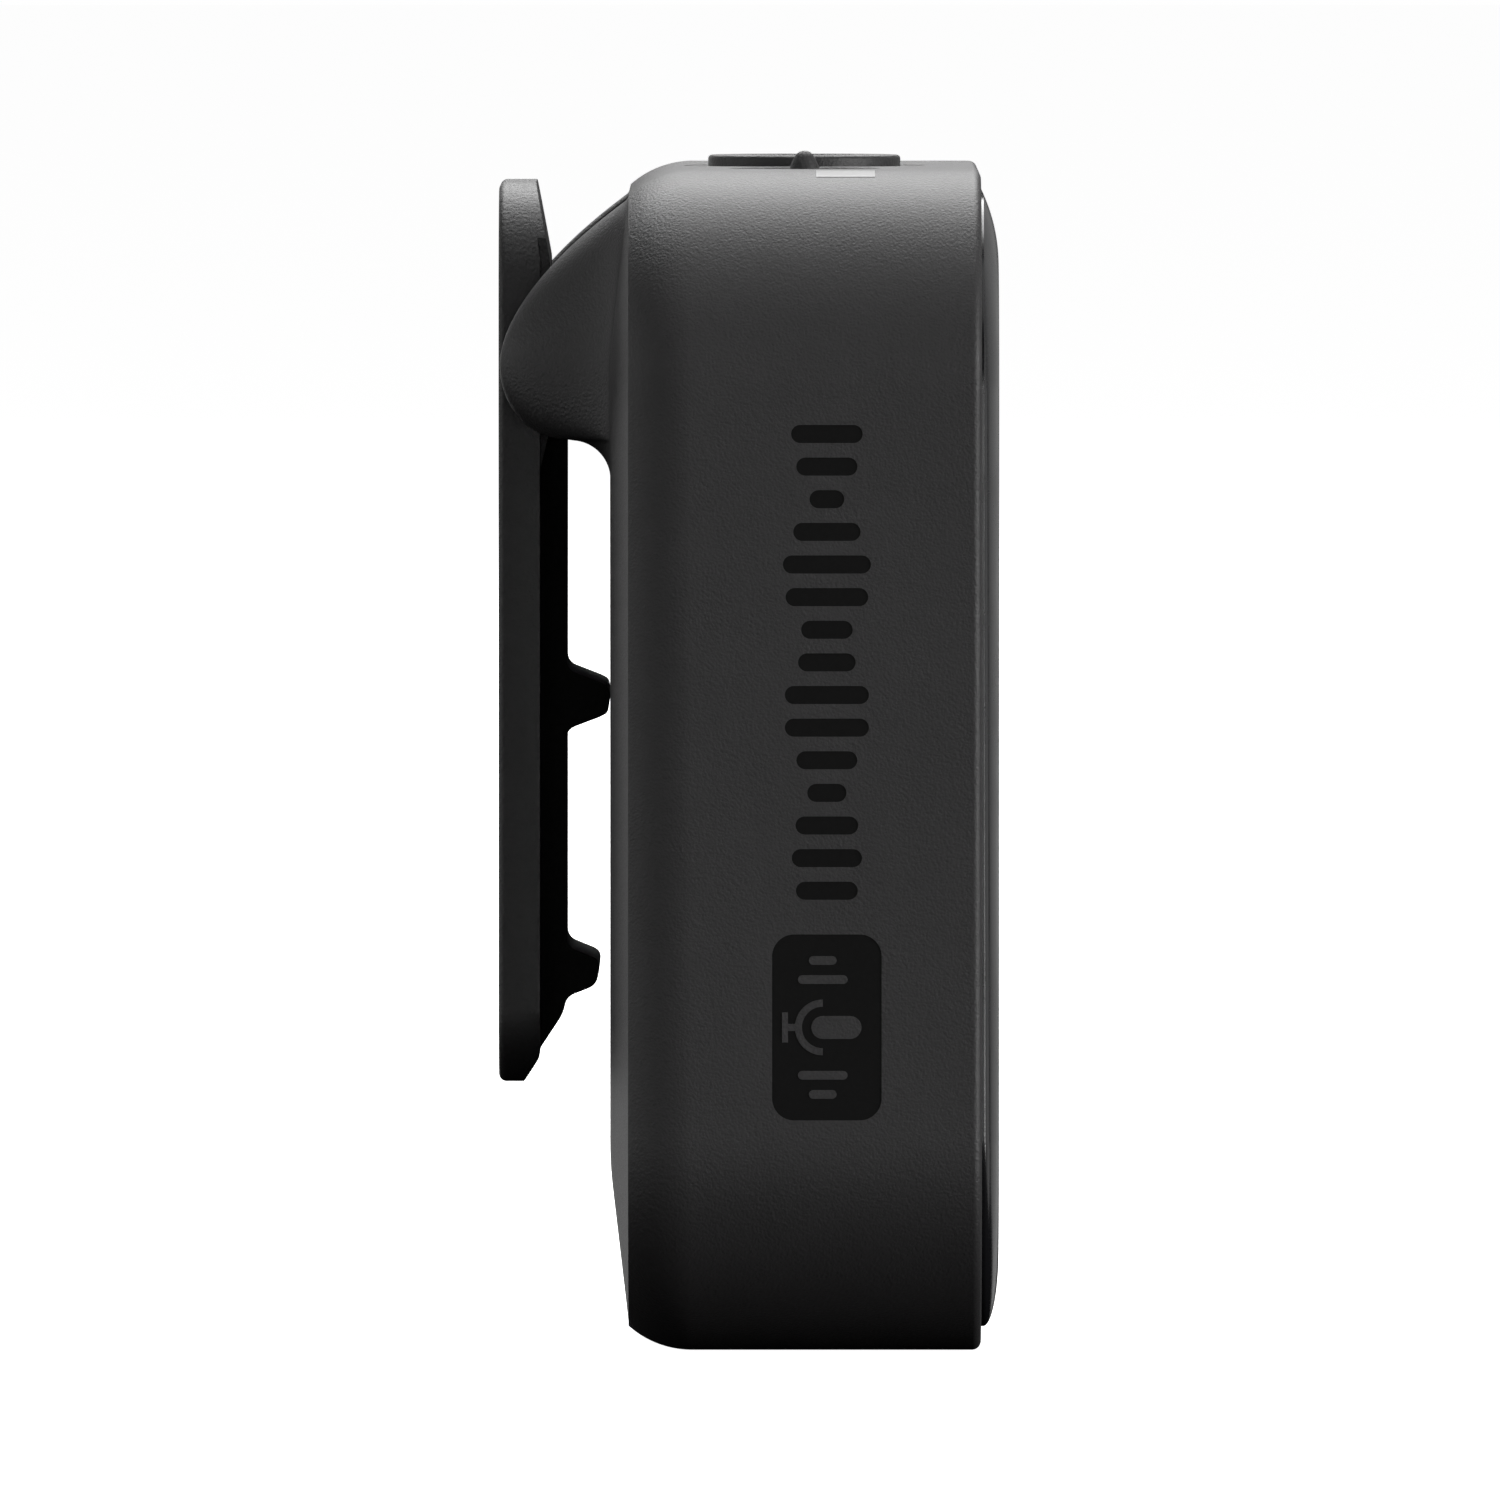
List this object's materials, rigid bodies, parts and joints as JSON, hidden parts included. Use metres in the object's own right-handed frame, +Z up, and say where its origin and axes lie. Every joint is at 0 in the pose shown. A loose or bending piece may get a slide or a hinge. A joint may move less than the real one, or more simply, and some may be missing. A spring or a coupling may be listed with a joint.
{
  "type": "wireless bodypack transmitter",
  "caption": "Compact clip-on wireless transmitter with a built-in microphone, a sprung clip that fits a cold shoe, a power button, an audio jack and a charging socket.",
  "frame": {"origin": "centre of the footprint, on the surface the case stands on", "axes": "+Z up, +X across the width towards the audio jack, -Y out of the glossy front, +Y out of the clip"},
  "size_m": [0.0452, 0.0184, 0.044],
  "materials": {
    "case_plastic": "black, finely grained moulding",
    "clip_plastic": "black glass-filled moulding, fine grain",
    "grip_rubber": "soft black insert",
    "panel_gloss": "polished black",
    "steel": "bright spring and screw steel",
    "contact_brass": "plated",
    "board_laminate": "green solder mask",
    "black_resin": "satin black",
    "pale_plastic": "pale moulded",
    "clear_plastic": "clear light pipe",
    "bright_foil": "foil and tinned sheet",
    "seal_rubber": "black foam and rubber",
    "red_sleeve": "red wire sleeve"
  },
  "bodies": {
    "case": {"battery_cell": "bright_foil", "battery_connector": "pale_plastic", "battery_lead_minus": "seal_rubber", "battery_lead_plus": "red_sleeve", "battery_pad": "seal_rubber", "board_screw_1": "steel", "board_screw_2": "steel", "charger_chip": "black_resin", "chip_antenna": "pale_plastic", "circuit_board": "board_laminate", "clip_pin": "steel", "clip_spring": "steel", "codec_chip": "black_resin", "cover_gasket": "seal_rubber", "cover_screw_1": "steel", "cover_screw_2": "steel", "cover_screw_3": "steel", "cover_screw_4": "steel", "crystal": "steel", "front_panel": "panel_gloss", "housing": "case_plastic", "jack_body": "black_resin", "jack_collar": "black_resin", "jack_contact_1": "contact_brass", "jack_contact_2": "contact_brass", "jack_contact_3": "contact_brass", "light_pipe_1": "clear_plastic", "light_pipe_2": "clear_plastic", "mic_boot": "seal_rubber", "mic_capsule": "bright_foil", "mic_grille": "steel", "mic_ring": "case_plastic", "panel_adhesive": "seal_rubber", "radio_chip": "black_resin", "rear_cover": "case_plastic", "rf_shield": "bright_foil", "status_led_1": "pale_plastic", "status_led_2": "pale_plastic", "tact_switch": "steel", "usb_shell": "steel", "usb_tongue": "black_resin"},
    "clip": {"clip_lever": "clip_plastic", "clip_grip": "grip_rubber"},
    "button": {"power_button": "case_plastic", "switch_plunger": "black_resin"}
  },
  "joints": [
    {"name": "clip_hinge", "type": "hinge", "parent": "case", "child": "clip", "pos_m": [0, 0.00675, 0.0361], "axis": [1, 0, 0], "range_deg": [0, 15], "stiffness_Nm_per_rad": 0.3, "springref_deg": -2.86, "deforming": ["clip_spring"]},
    {"name": "button_press", "type": "slide", "parent": "case", "child": "button", "axis": [0, 0, 1], "range_m": [-0.0003, 0], "stiffness_N_per_m": 2500, "springref_m": 0.0004}
  ]
}
